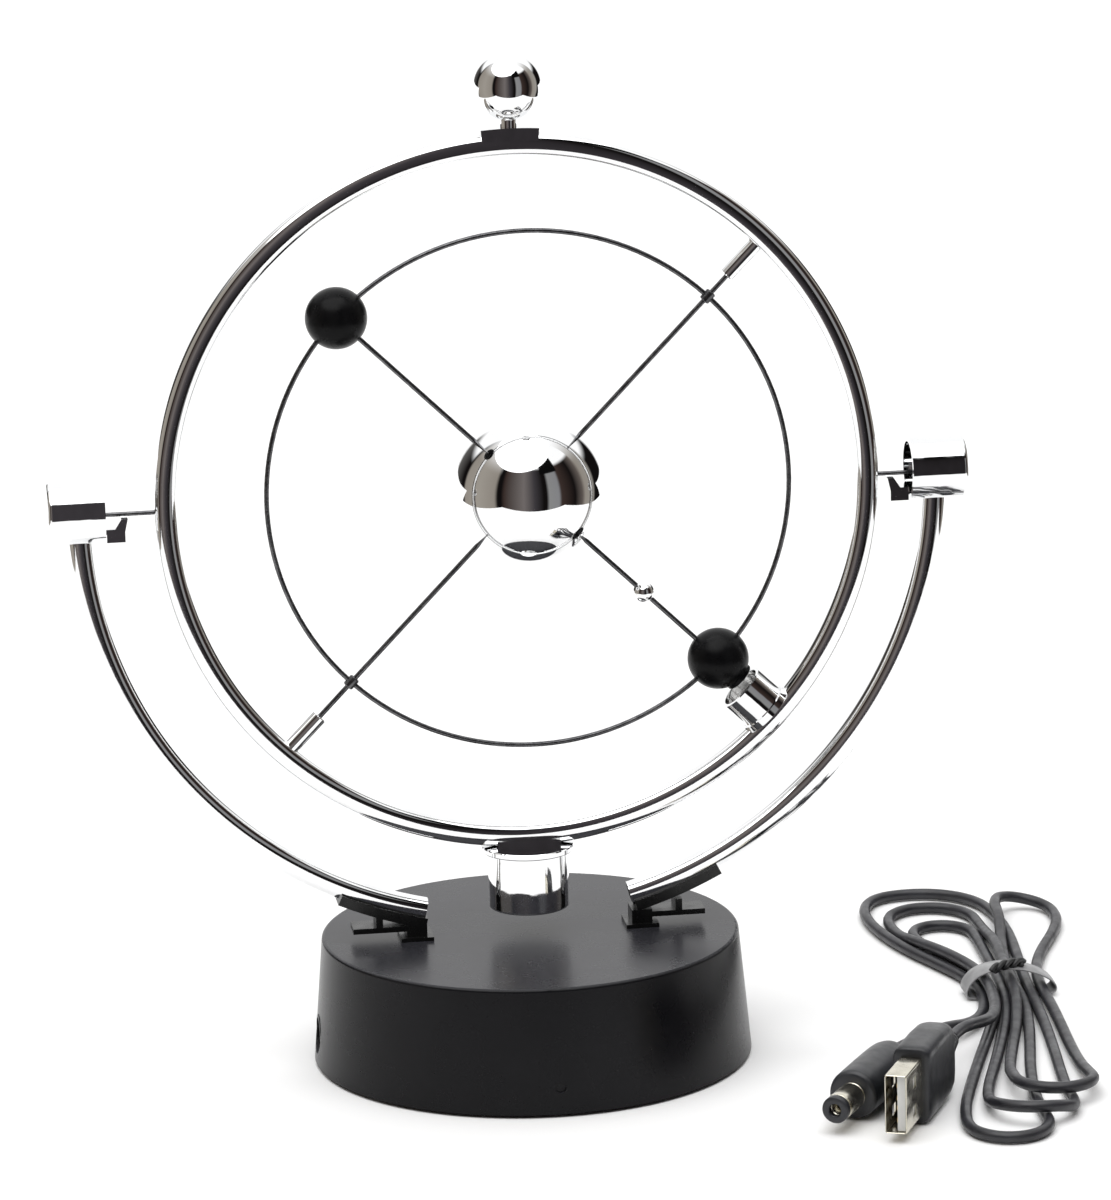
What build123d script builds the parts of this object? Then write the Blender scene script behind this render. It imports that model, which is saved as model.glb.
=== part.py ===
from build123d import *
import os
from math import sin, cos, tan, asin, degrees, radians, sqrt

# Desk orbit toy: a round weighted base with two curved arms, an outer ring that
# rocks on two pins about the left-right axis (X), and a rotor of a wire ring, a
# hub sphere and two black balls that spins on a diagonal axle in the outer ring.
# A separate USB-A to barrel-plug lead lies beside the base.
# Units are mm. +Z is up, +X is right along the rocking axis, the front is -Y.
# The origin is the centre of the base's underside.

os.makedirs("parts", exist_ok=True)

# ---------------------------------------------------------------- base
BASE_H = 26.0            # top of the base above the table
BASE_TOP_R = 42.6
BASE_BOT_R = 44.8
SHELL_Z0 = 0.6           # lower rim of the shell above the table
WALL = 2.2
TOP_T = 2.4
COVER_Z0, COVER_Z1 = 1.0, 2.6
COVER_R = 42.3
PAD_R = 30.0             # foam pad under the cover
BOSS_R = 33.0
BOSS_ANGLES = (90, 210, 330)
SCREW_R = 1.15

# ---------------------------------------------------------------- drive coil and circuit
COIL_Z0, COIL_Z1 = 9.6, 23.5
BOBBIN_R = 13.0
CORE_R = 2.5
BOARD_Z = 4.8
BOARD_T = 1.6
JACK_Z = 6.6
JACK_BORE_R = 3.4

# ---------------------------------------------------------------- ring and pivot
PIVOT_Z = 117.5
RING_R = 71.15           # centreline radius of the outer ring tube
RING_TUBE_R = 2.35
PIN_R = 0.45
PIN_BORE_R = 0.50        # 0.05 running clearance

# ---------------------------------------------------------------- arms and end caps
ARM_CX = -1.9            # centre of the arms' arc, left of the base centre
ARM_CZ = PIVOT_Z - 1.5
ARM_R = 86.6
ARM_TUBE_R = 2.4
ARM_LEFT_END = 257.0     # polar angle of the lower ends, from +X towards +Z
ARM_RIGHT_END = -74.9
ARM_TOP = 1.3            # degrees below level where the arms enter the caps
MOUTH = 81.55            # cap mouth from the arc centre
CAP_LEN = 11.4
CAP_R = 6.4
CAP_WALL = 1.0
CAP_Z = PIVOT_Z + 0.9

# ---------------------------------------------------------------- rotor
AXLE_DEG = 45.5
AXLE_R = 0.5
SLEEVE_BORE_R = 0.56     # 0.06 running clearance
SLEEVE_R = 1.6
SLEEVE_IN, SLEEVE_OUT = 60.5, 69.6
AXLE_HALF = 67.3
AXLE_OFF = 1.2           # the axle passes this far below and right of the ring's centre
ROTOR_SHIFT = 1.9        # the rotor sits this far up the axle from the axle's middle
ORBIT_R = 53.0
WIRE_R = 0.5
HUB_R = 15.4
HUB_IN_R = 13.9
BALL_R = 6.25
PLUG_R = 3.1
BEAD_AT = 32.0
BEAD_R = 2.2

# ---------------------------------------------------------------- things on the outer ring
CUP_DEG = -44.0
CUP_R = 5.3
CUP_IN = 61.8
FINIAL_Z = 82.8
FINIAL_R = 6.9
HOUSING_R = 8.25
HOUSING_TOP, HOUSING_BOT = 74.4, 86.3
FLANGE_R = 9.5

# ---------------------------------------------------------------- lead
CORD_R = 1.2
DC_TIP = (51.2, -67.5)
DC_DIR = (0.5, 0.8660254)
DC_Z = 5.2
USB_FRONT = (62.0, -75.0)
USB_DIR = (0.42, 0.9075241)
USB_Z = 8.0
HANK_H = 9.0

PIVOT = (0, 0, PIVOT_Z)
u = (cos(radians(AXLE_DEG)), 0, sin(radians(AXLE_DEG)))      # along the axle, up to the right
v = (-sin(radians(AXLE_DEG)), 0, cos(radians(AXLE_DEG)))     # across it, up to the left
AXLE_C = tuple(c - AXLE_OFF * d for c, d in zip(PIVOT, v))   # middle of the axle
ROTOR = tuple(c + ROTOR_SHIFT * d for c, d in zip(AXLE_C, u))


def save(piece, label):
    piece.part.label = label
    export_step(piece.part, f"parts/{label}.step")
    print(label, round(piece.part.volume, 2))


def radial_plane(a, centre=PIVOT):
    # local x is +Y, local y points outward at polar angle a
    a = radians(a)
    return Plane(origin=centre, x_dir=(0, 1, 0), z_dir=(sin(a), 0, -cos(a)))


def along(direction, distance, centre=PIVOT):
    # plane whose normal is direction, at a distance from centre
    o = tuple(c + distance * d for c, d in zip(centre, direction))
    return Plane(origin=o, x_dir=(0, 1, 0), z_dir=direction)


def flat_plane(start, d, distance, z):
    # upright plane across a piece that lies along d on the table
    return Plane(origin=(start[0] + distance * d[0], start[1] + distance * d[1], z),
                 x_dir=(d[1], -d[0], 0), z_dir=(d[0], d[1], 0))


# ================================================================ rods used as tools by their neighbours
with BuildPart() as left_arm:
    with BuildSketch(radial_plane(ARM_LEFT_END, (ARM_CX, 0, ARM_CZ))):
        with Locations((0, ARM_R)):
            Circle(ARM_TUBE_R)
    revolve(axis=Axis((ARM_CX, 0, ARM_CZ), (0, 1, 0)), revolution_arc=ARM_LEFT_END - 180 - ARM_TOP)
    chamfer(left_arm.edges().filter_by(GeomType.CIRCLE), 0.25)
save(left_arm, "left_arm")

with BuildPart() as right_arm:
    with BuildSketch(radial_plane(-ARM_TOP, (ARM_CX, 0, ARM_CZ))):
        with Locations((0, ARM_R)):
            Circle(ARM_TUBE_R)
    revolve(axis=Axis((ARM_CX, 0, ARM_CZ), (0, 1, 0)), revolution_arc=-ARM_RIGHT_END - ARM_TOP)
    chamfer(right_arm.edges().filter_by(GeomType.CIRCLE), 0.25)
save(right_arm, "right_arm")

# the full torus is the cutting tool for every piece that seats on the ring
with BuildPart() as ring_tool:
    with BuildSketch(radial_plane(0)):
        with Locations((0, RING_R)):
            Circle(RING_TUBE_R)
    revolve(axis=Axis(PIVOT, (0, 1, 0)), revolution_arc=360)

LEFT_MOUTH = ARM_CX - MOUTH
RIGHT_MOUTH = ARM_CX + MOUTH
PIN_IN = 3.5 + 4.5       # how far the pins reach past the cap mouths

with BuildPart() as left_pivot_pin:
    with BuildSketch(along((-1, 0, 0), 69.6)):
        Circle(PIN_R)
    extrude(amount=-LEFT_MOUTH + PIN_IN - 69.6)
    chamfer(left_pivot_pin.edges().sort_by(Axis.X)[0], 0.2)
save(left_pivot_pin, "left_pivot_pin")

with BuildPart() as right_pivot_pin:
    with BuildSketch(along((1, 0, 0), 69.6)):
        Circle(PIN_R)
    extrude(amount=RIGHT_MOUTH + PIN_IN - 69.6)
    chamfer(right_pivot_pin.edges().sort_by(Axis.X)[-1], 0.2)
save(right_pivot_pin, "right_pivot_pin")

# ================================================================ outer ring body
with BuildPart() as outer_ring:
    with BuildSketch(radial_plane(0)):
        with Locations((0, RING_R)):
            Circle(RING_TUBE_R)
    revolve(axis=Axis(PIVOT, (0, 1, 0)), revolution_arc=360)
    add(left_pivot_pin.part, mode=Mode.SUBTRACT)
    add(right_pivot_pin.part, mode=Mode.SUBTRACT)
save(outer_ring, "outer_ring")

for side, direction in (("upper", u), ("lower", tuple(-c for c in u))):
    with BuildPart() as sleeve:
        with BuildSketch(along(direction, SLEEVE_IN, AXLE_C)):
            Circle(SLEEVE_R)
        extrude(amount=SLEEVE_OUT - SLEEVE_IN)
        chamfer(sleeve.edges().filter_by(GeomType.CIRCLE), 0.2)
        with BuildSketch(along(direction, SLEEVE_IN, AXLE_C)):
            Circle(SLEEVE_BORE_R)
        extrude(amount=67.6 - SLEEVE_IN, mode=Mode.SUBTRACT)
        add(ring_tool.part, mode=Mode.SUBTRACT)
    save(sleeve, f"{side}_axle_sleeve")

cup_dir = (cos(radians(CUP_DEG)), 0, sin(radians(CUP_DEG)))
with BuildPart() as magnet_cup:
    with BuildSketch(along(cup_dir, CUP_IN)):
        Circle(CUP_R)
    extrude(amount=68.0 - CUP_IN)
    with BuildSketch(along(cup_dir, 68.0)):
        Circle(CUP_R + 0.45)
    extrude(amount=1.4)
    with BuildSketch(along(cup_dir, CUP_IN)):
        Circle(CUP_R - 0.8)
    extrude(amount=67.4 - CUP_IN, mode=Mode.SUBTRACT)
    add(ring_tool.part, mode=Mode.SUBTRACT)
save(magnet_cup, "magnet_cup")

with BuildPart() as cup_magnet:
    with BuildSketch(along(cup_dir, 64.4)):
        Circle(CUP_R - 0.85)
    extrude(amount=67.4 - 64.4)
    chamfer(cup_magnet.edges().filter_by(GeomType.CIRCLE), 0.25)
save(cup_magnet, "cup_magnet")

with BuildPart() as finial_saddle:
    with BuildSketch(radial_plane(90 + 4.5)):
        with Locations((0, 73.45)):
            Rectangle(5.2, 2.5)
    revolve(axis=Axis(PIVOT, (0, 1, 0)), revolution_arc=9.0)
    add(ring_tool.part, mode=Mode.SUBTRACT)
save(finial_saddle, "finial_saddle")

with BuildPart() as finial_neck:
    with BuildSketch(Plane.XY.offset(PIVOT_Z + 74.7)):
        Circle(1.65)
    extrude(amount=3.2)
save(finial_neck, "finial_neck")

with BuildPart() as finial_ball:
    with Locations((0, 0, PIVOT_Z + FINIAL_Z)):
        Sphere(FINIAL_R)
    add(finial_neck.part, mode=Mode.SUBTRACT)
save(finial_ball, "finial_ball")

with BuildPart() as housing_flange:
    with BuildSketch(Plane.XY.offset(PIVOT_Z - HOUSING_TOP)):
        Circle(FLANGE_R)
    extrude(amount=1.2)
    chamfer(housing_flange.edges().filter_by(GeomType.CIRCLE), 0.2)
    with BuildSketch(Plane.XY.offset(PIVOT_Z - HOUSING_TOP + 1.2)):
        Rectangle(13.0, 5.2)
    extrude(amount=1.3)
    add(ring_tool.part, mode=Mode.SUBTRACT)
save(housing_flange, "housing_flange")

with BuildPart() as magnet_housing:
    with BuildSketch(Plane.XY.offset(PIVOT_Z - HOUSING_BOT)):
        Circle(HOUSING_R)
    extrude(amount=HOUSING_BOT - HOUSING_TOP)
    fillet(magnet_housing.edges().group_by(Axis.Z)[0], 0.5)
    with BuildSketch(Plane.XY.offset(PIVOT_Z - HOUSING_BOT + 1.2)):
        Circle(HOUSING_R - 0.9)
    extrude(amount=HOUSING_BOT - HOUSING_TOP - 1.2, mode=Mode.SUBTRACT)
save(magnet_housing, "magnet_housing")

with BuildPart() as drive_magnet:
    with BuildSketch(Plane.XY.offset(PIVOT_Z - HOUSING_BOT + 1.2)):
        Circle(HOUSING_R - 1.0)
    extrude(amount=6.0)
    chamfer(drive_magnet.edges().filter_by(GeomType.CIRCLE), 0.3)
save(drive_magnet, "drive_magnet")

# ================================================================ rotor body
with BuildPart() as axle_rod:
    with BuildSketch(along(u, -AXLE_HALF, AXLE_C)):
        Circle(AXLE_R)
    extrude(amount=2 * AXLE_HALF)
    chamfer(axle_rod.edges().filter_by(GeomType.CIRCLE), 0.15)
save(axle_rod, "axle_rod")

# each ferrule grips the axle and has two cross sockets for the ends of the orbit wires
SOCKET_IN = 0.8
for side, s in (("upper", 1), ("lower", -1)):
    centre = tuple(c + s * ORBIT_R * d for c, d in zip(ROTOR, u))
    with BuildPart() as ferrule:
        with BuildSketch(along(u, s * ORBIT_R - 1.2, ROTOR)):
            Circle(1.1)
        extrude(amount=2.4)
        chamfer(ferrule.edges().filter_by(GeomType.CIRCLE), 0.2)
        for way in (v, tuple(-c for c in v)):
            with BuildSketch(along(way, SOCKET_IN, centre)):
                Circle(WIRE_R + 0.02)
            extrude(amount=1.0, mode=Mode.SUBTRACT)
        add(axle_rod.part, mode=Mode.SUBTRACT)
    save(ferrule, f"{side}_orbit_ferrule")

spokes = {}
for side, s in (("upper", 1), ("lower", -1)):
    with BuildPart() as spoke:
        with BuildSketch(along(tuple(s * c for c in v), HUB_IN_R + 0.2, ROTOR)):
            Circle(WIRE_R)
        extrude(amount=ORBIT_R - 4.0 - HUB_IN_R - 0.2)
    save(spoke, f"{side}_spoke")
    spokes[side] = spoke.part

END_DEG = degrees(asin((SOCKET_IN + 0.01) / ORBIT_R))
for side, start in (("upper_left", AXLE_DEG + 180), ("lower_right", AXLE_DEG)):
    with BuildPart() as orbit_wire:
        with BuildSketch(radial_plane(start - END_DEG, ROTOR)):
            with Locations((0, ORBIT_R)):
                Circle(WIRE_R)
        revolve(axis=Axis(ROTOR, (0, 1, 0)), revolution_arc=180 - 2 * END_DEG)
    save(orbit_wire, f"orbit_wire_{side}")

with BuildPart() as ball_magnet:
    with BuildSketch(along(tuple(-c for c in v), ORBIT_R + 3.4, ROTOR)):
        Circle(PLUG_R)
    extrude(amount=2.9)
    chamfer(ball_magnet.edges().filter_by(GeomType.CIRCLE), 0.25)
save(ball_magnet, "ball_magnet")

# each ball is drilled across for the orbit wire and has a socket for its spoke
for side, s in (("upper", 1), ("lower", -1)):
    out = tuple(s * c for c in v)
    with BuildPart() as orbit_ball:
        with BuildSketch(Plane(origin=tuple(c + ORBIT_R * d for c, d in zip(ROTOR, out)), x_dir=(0, 1, 0), z_dir=u)):
            Circle(BALL_R)
            Rectangle(2 * BALL_R, 4 * BALL_R, align=(Align.MAX, Align.CENTER), mode=Mode.SUBTRACT)
        revolve(axis=Axis(tuple(c + ORBIT_R * d for c, d in zip(ROTOR, out)), out), revolution_arc=360)
        with BuildSketch(Plane(origin=tuple(c + (ORBIT_R - 0.18) * d - 10 * e for c, d, e in zip(ROTOR, out, u)),
                               x_dir=(0, 1, 0), z_dir=u)):
            Circle(0.75)
        extrude(amount=20, mode=Mode.SUBTRACT)
        add(spokes[side], mode=Mode.SUBTRACT)
        if side == "lower":
            add(ball_magnet.part, mode=Mode.SUBTRACT)
    save(orbit_ball, f"{side}_orbit_ball")

with BuildPart() as spoke_bead:
    with Locations(tuple(c - BEAD_AT * d for c, d in zip(ROTOR, v))):
        Sphere(BEAD_R)
    add(spokes["lower"], mode=Mode.SUBTRACT)
save(spoke_bead, "spoke_bead")

for side, keep in (("front", Keep.BOTTOM), ("rear", Keep.TOP)):
    with BuildPart() as hub:
        with Locations(ROTOR):
            Sphere(HUB_R)
            Sphere(HUB_IN_R, mode=Mode.SUBTRACT)
        split(bisect_by=Plane(origin=ROTOR, x_dir=(1, 0, 0), z_dir=(0, 1, 0)), keep=keep)
        add(axle_rod.part, mode=Mode.SUBTRACT)
        add(spokes["upper"], mode=Mode.SUBTRACT)
        add(spokes["lower"], mode=Mode.SUBTRACT)
    save(hub, f"hub_sphere_{side}")

# ================================================================ end caps and bearings
for side, s, mouth, arm in (("left", -1, LEFT_MOUTH, left_arm), ("right", 1, RIGHT_MOUTH, right_arm)):
    face = Plane(origin=(mouth, 0, CAP_Z), x_dir=(0, s, 0), z_dir=(s, 0, 0))
    with BuildPart() as cap:
        with BuildSketch(face):
            Circle(CAP_R)
        extrude(amount=CAP_LEN)
        fillet(cap.edges().filter_by(GeomType.CIRCLE).sort_by(Axis.X)[0 if s < 0 else -1], 0.8)
        with BuildSketch(face):
            Circle(CAP_R - CAP_WALL)
        extrude(amount=CAP_LEN - CAP_WALL, mode=Mode.SUBTRACT)
        add(arm.part, mode=Mode.SUBTRACT)
    save(cap, f"{side}_end_cap")

    # the bearing insert fills the back of the cap; its tongue stands out under the pin
    with BuildPart() as bearing:
        with BuildSketch(face.offset(3.5)):
            Circle(CAP_R - CAP_WALL)
        extrude(amount=CAP_LEN - CAP_WALL - 3.5)
        with BuildSketch(Plane(origin=(mouth, 2.2, PIVOT_Z), x_dir=(-s, 0, 0), z_dir=(0, s, 0))):
            with BuildLine():
                Polyline((-3.6, -3.6), (0.3, -3.6), (0.3, -5.3), (4.0, -5.3), (4.0, -3.2),
                         (4.6, -0.6), (3.3, -0.6), (2.0, -2.6), (-3.6, -2.6), close=True)
            make_face()
        extrude(amount=4.4 if s < 0 else -4.4)
        with BuildSketch(Plane(origin=(mouth - s * 6, 0, PIVOT_Z), x_dir=(0, 1, 0), z_dir=(s, 0, 0))):
            Circle(PIN_BORE_R + 0.25)
        extrude(amount=9.0, mode=Mode.SUBTRACT)
        with BuildSketch(Plane(origin=(mouth, 0, PIVOT_Z), x_dir=(0, 1, 0), z_dir=(s, 0, 0))):
            Circle(PIN_BORE_R)
        extrude(amount=3.5 + 4.7, mode=Mode.SUBTRACT)
        add(arm.part, mode=Mode.SUBTRACT)
    save(bearing, f"{side}_bearing")

# ================================================================ arm clips on the base
for side, s, arm, end_x in (("left", -1, left_arm, -21.4), ("right", 1, right_arm, 20.7)):
    px = end_x + s * 2.1                     # middle of the post
    with BuildPart() as clip:
        # cradle that follows the underside of the arm
        with BuildSketch(radial_plane(257.3 if s < 0 else -62.6, (ARM_CX, 0, ARM_CZ))):
            with Locations((0, ARM_R + 2.15)):
                Rectangle(6.0, 2.1)
        revolve(axis=Axis((ARM_CX, 0, ARM_CZ), (0, 1, 0)), revolution_arc=12.0)
        # post, foot flange, lower blade, rib and the stem through the base top
        with BuildSketch(Plane.XY.offset(BASE_H)):
            with Locations((px, 0)):
                Rectangle(4.2, 6.0)
        extrude(amount=3.6)
        with BuildSketch(Plane.XY.offset(BASE_H)):
            with Locations((px, 0)):
                Rectangle(6.7, 8.0)
        extrude(amount=0.8)
        with BuildSketch(Plane.XY.offset(BASE_H + 2.0)):
            with Locations((px + s * 7.0, 0)):
                Rectangle(12.0, 6.0)
        extrude(amount=1.1)
        with BuildSketch(Plane.XY.offset(BASE_H + 2.0)):
            with Locations((px + s * 7.6, 0)):
                Rectangle(1.4, 6.0)
        extrude(amount=3.4)
        with BuildSketch(Plane.XY.offset(BASE_H)):
            with Locations((px, 0)):
                Rectangle(3.0, 4.0)
        extrude(amount=-4.0)
        add(arm.part, mode=Mode.SUBTRACT)
    save(clip, f"{side}_arm_clip")

# ================================================================ base
with BuildPart() as base_shell:
    with BuildSketch(Plane.XZ):
        with BuildLine():
            Polyline((0, BASE_H), (BASE_TOP_R, BASE_H), (BASE_BOT_R, SHELL_Z0), (BASE_BOT_R - WALL, SHELL_Z0),
                     (BASE_TOP_R - WALL, BASE_H - TOP_T), (0, BASE_H - TOP_T), close=True)
        make_face()
    revolve(axis=Axis.Z, revolution_arc=360)
    fillet(base_shell.edges().filter_by(GeomType.CIRCLE).sort_by(Axis.Z)[-1], 0.7)
    with BuildSketch(Plane.XY.offset(BASE_H - TOP_T)):
        with PolarLocations(BOSS_R, 3, start_angle=90):
            Circle(3.2)
    extrude(amount=-(BASE_H - TOP_T - COVER_Z1))
    with BuildSketch(Plane.XY.offset(COVER_Z1)):
        with PolarLocations(BOSS_R, 3, start_angle=90):
            Circle(SCREW_R)
    extrude(amount=9.0, mode=Mode.SUBTRACT)
    # locating ring for the coil bobbin
    with BuildSketch(Plane.XY.offset(BASE_H - TOP_T)):
        Circle(BOBBIN_R + 1.8)
        Circle(BOBBIN_R + 0.2, mode=Mode.SUBTRACT)
    extrude(amount=-3.0)
    # openings for the clip stems
    with BuildSketch(Plane.XY.offset(BASE_H + 1)):
        with Locations((-23.5, 0), (22.8, 0)):
            Rectangle(3.1, 4.1)
    extrude(amount=-4.0, mode=Mode.SUBTRACT)
    # power inlet on the left
    with BuildSketch(Plane(origin=(-38, 0, JACK_Z), x_dir=(0, 1, 0), z_dir=(-1, 0, 0))):
        Circle(4.05)
    extrude(amount=10.0, mode=Mode.SUBTRACT)
    # indicator dimple at the front
    with BuildSketch(Plane(origin=(0, -60, 6.0), x_dir=(1, 0, 0), z_dir=(0, 1, 0))):
        Circle(1.1)
    extrude(amount=60 - 43.9, mode=Mode.SUBTRACT)
save(base_shell, "base_shell")

with BuildPart() as bottom_cover:
    with BuildSketch(Plane.XY.offset(COVER_Z0)):
        Circle(COVER_R)
    extrude(amount=COVER_Z1 - COVER_Z0)
    with BuildSketch(Plane.XY.offset(COVER_Z1)):
        with Locations((-13, -32), (13, -32), (-13, -20), (13, -20)):
            Circle(2.0)
    extrude(amount=BOARD_Z - COVER_Z1)
    with BuildSketch(Plane.XY.offset(COVER_Z0)):
        with PolarLocations(BOSS_R, 3, start_angle=90):
            Circle(1.4)
    extrude(amount=COVER_Z1 - COVER_Z0, mode=Mode.SUBTRACT)
    with BuildSketch(Plane.XY.offset(COVER_Z0)):
        with PolarLocations(BOSS_R, 3, start_angle=90):
            Circle(2.6)
    extrude(amount=1.2, mode=Mode.SUBTRACT)
save(bottom_cover, "bottom_cover")

for n, a in enumerate(BOSS_ANGLES, 1):
    x, y = BOSS_R * cos(radians(a)), BOSS_R * sin(radians(a))
    with BuildPart() as screw:
        with BuildSketch(Plane.XY.offset(COVER_Z0 + 0.05)):
            with Locations((x, y)):
                Circle(2.3)
        extrude(amount=1.15)
        with BuildSketch(Plane.XY.offset(COVER_Z0 + 1.2)):
            with Locations((x, y)):
                Circle(SCREW_R)
        extrude(amount=9.0)
        with BuildSketch(Plane.XY.offset(COVER_Z0 + 0.05)):
            with Locations((x, y)):
                Rectangle(2.4, 0.6)
                Rectangle(0.6, 2.4)
        extrude(amount=0.6, mode=Mode.SUBTRACT)
    save(screw, f"cover_screw_{n}")

with BuildPart() as foam_pad:
    with BuildSketch(Plane.XY):
        Circle(PAD_R)
    extrude(amount=COVER_Z0)
    chamfer(foam_pad.edges().group_by(Axis.Z)[0], 0.2)
save(foam_pad, "foam_pad")

with BuildPart() as coil_bobbin:
    with BuildSketch(Plane.XZ):
        with BuildLine():
            Polyline((CORE_R, COIL_Z0), (BOBBIN_R, COIL_Z0), (BOBBIN_R, COIL_Z0 + 1), (4.5, COIL_Z0 + 1),
                     (4.5, COIL_Z1 - 1), (BOBBIN_R, COIL_Z1 - 1), (BOBBIN_R, COIL_Z1), (CORE_R, COIL_Z1), close=True)
        make_face()
    revolve(axis=Axis.Z, revolution_arc=360)
save(coil_bobbin, "coil_bobbin")

with BuildPart() as drive_coil:
    with BuildSketch(Plane.XY.offset(COIL_Z0 + 1)):
        Circle(12.2)
        Circle(4.5, mode=Mode.SUBTRACT)
    extrude(amount=COIL_Z1 - COIL_Z0 - 2)
save(drive_coil, "drive_coil")

with BuildPart() as coil_core:
    with BuildSketch(Plane.XY.offset(COIL_Z0)):
        Circle(CORE_R)
    extrude(amount=COIL_Z1 - COIL_Z0)
save(coil_core, "coil_core")

with BuildPart() as circuit_board:
    with BuildSketch(Plane.XY.offset(BOARD_Z)):
        with Locations((0, -26)):
            RectangleRounded(34, 17, 1.0)
    extrude(amount=BOARD_T)
save(circuit_board, "circuit_board")

with BuildPart() as board_capacitor:
    with BuildSketch(Plane.XY.offset(BOARD_Z + BOARD_T)):
        with Locations((9, -27)):
            Circle(3.15)
    extrude(amount=8.0)
    fillet(board_capacitor.edges().group_by(Axis.Z)[-1], 0.5)
save(board_capacitor, "board_capacitor")

with BuildPart() as board_transistor:
    with BuildSketch(Plane.XY.offset(BOARD_Z + BOARD_T)):
        with Locations((-8, -27)):
            Circle(2.4)
        with Locations((-8, -29.4)):
            Rectangle(6, 2.4, mode=Mode.SUBTRACT)
    extrude(amount=4.8)
save(board_transistor, "board_transistor")

# power jack: a short entry bore, then a narrower one with the centre pin
with BuildPart() as power_jack:
    with BuildSketch(Plane.XY.offset(COVER_Z1)):
        with Locations((-34.2, 0)):
            Rectangle(13.4, 9.0)
    extrude(amount=8.3)
    with BuildSketch(Plane(origin=(-40.8, 0, JACK_Z), x_dir=(0, 1, 0), z_dir=(-1, 0, 0))):
        Circle(3.95)
    extrude(amount=3.3)
    with BuildSketch(Plane(origin=(-44.1, 0, JACK_Z), x_dir=(0, 1, 0), z_dir=(1, 0, 0))):
        Circle(JACK_BORE_R)
    extrude(amount=3.2, mode=Mode.SUBTRACT)
    with BuildSketch(Plane(origin=(-40.9, 0, JACK_Z), x_dir=(0, 1, 0), z_dir=(1, 0, 0))):
        Circle(2.85)
        Circle(1.0, mode=Mode.SUBTRACT)
    extrude(amount=6.5, mode=Mode.SUBTRACT)
    with BuildSketch(Plane(origin=(-40.9, 0, JACK_Z), x_dir=(0, 1, 0), z_dir=(1, 0, 0))):
        Circle(1.2)
    extrude(amount=0.5, mode=Mode.SUBTRACT)
save(power_jack, "power_jack")

# ================================================================ lead
with BuildPart() as dc_plug_tip:
    with BuildSketch(flat_plane(DC_TIP, DC_DIR, 0, DC_Z)):
        Circle(2.75)
        Circle(1.3, mode=Mode.SUBTRACT)
    extrude(amount=1.6)
    chamfer(dc_plug_tip.edges().filter_by(GeomType.CIRCLE).group_by(Axis((DC_TIP[0], DC_TIP[1], DC_Z), (DC_DIR[0], DC_DIR[1], 0)))[0], 0.25)
save(dc_plug_tip, "dc_plug_tip")

with BuildPart() as dc_plug_barrel:
    with BuildSketch(flat_plane(DC_TIP, DC_DIR, 1.6, DC_Z)):
        Circle(2.75)
        Circle(1.05, mode=Mode.SUBTRACT)
    extrude(amount=8.4)
save(dc_plug_barrel, "dc_plug_barrel")

with BuildPart() as dc_plug_grip:
    with BuildSketch(Plane(origin=(DC_TIP[0], DC_TIP[1], DC_Z), x_dir=(DC_DIR[0], DC_DIR[1], 0), z_dir=(DC_DIR[1], -DC_DIR[0], 0))):
        with BuildLine():
            Polyline((10.0, 0), (10.0, 4.4), (10.8, 5.0), (30.0, 5.15), (33.0, 4.6), (36.0, 2.6), (44.0, 1.9), (44.0, 0), close=True)
        make_face()
    revolve(axis=Axis((DC_TIP[0], DC_TIP[1], DC_Z), (DC_DIR[0], DC_DIR[1], 0)), revolution_arc=360)
save(dc_plug_grip, "dc_plug_grip")

with BuildPart() as usb_shell:
    with BuildSketch(flat_plane(USB_FRONT, USB_DIR, 0, USB_Z)):
        RectangleRounded(4.5, 12.0, 0.4)
        RectangleRounded(3.9, 11.4, 0.2, mode=Mode.SUBTRACT)
    extrude(amount=12.4)
    with BuildSketch(Plane(origin=(USB_FRONT[0], USB_FRONT[1], USB_Z), x_dir=(USB_DIR[0], USB_DIR[1], 0), z_dir=(USB_DIR[1], -USB_DIR[0], 0))):
        with Locations((6.2, 2.9), (6.2, -2.9)):
            Rectangle(2.4, 2.2)
    extrude(amount=4, both=True, mode=Mode.SUBTRACT)
save(usb_shell, "usb_shell")

with BuildPart() as usb_tongue:
    with BuildSketch(flat_plane(USB_FRONT, USB_DIR, 0.8, USB_Z)):
        with Locations((1.0, 0)):
            Rectangle(1.8, 11.3)
    extrude(amount=11.6)
save(usb_tongue, "usb_tongue")

with BuildPart() as usb_grip:
    with BuildSketch(flat_plane(USB_FRONT, USB_DIR, 12.4, USB_Z)):
        RectangleRounded(7.8, 15.8, 2.0)
    extrude(amount=22.6)
    fillet(usb_grip.edges().group_by(Axis((USB_FRONT[0], USB_FRONT[1], USB_Z), (USB_DIR[0], USB_DIR[1], 0)))[-1], 1.8)
    with BuildSketch(flat_plane(USB_FRONT, USB_DIR, 34.6, USB_Z)):
        Circle(2.9)
    extrude(amount=9.4, taper=6)
save(usb_grip, "usb_grip")

with BuildPart() as cord_tie:
    with BuildSketch(Plane(origin=(102.5, 16.5, 0), x_dir=(1, 0, 0), z_dir=(0, 1, 0))):
        with Locations((0, -4.9)):
            RectangleRounded(23.0, 9.8, 2.5)
            RectangleRounded(21.4, 8.2, 2.0, mode=Mode.SUBTRACT)
    extrude(amount=4.0)
save(cord_tie, "cord_tie")

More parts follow.
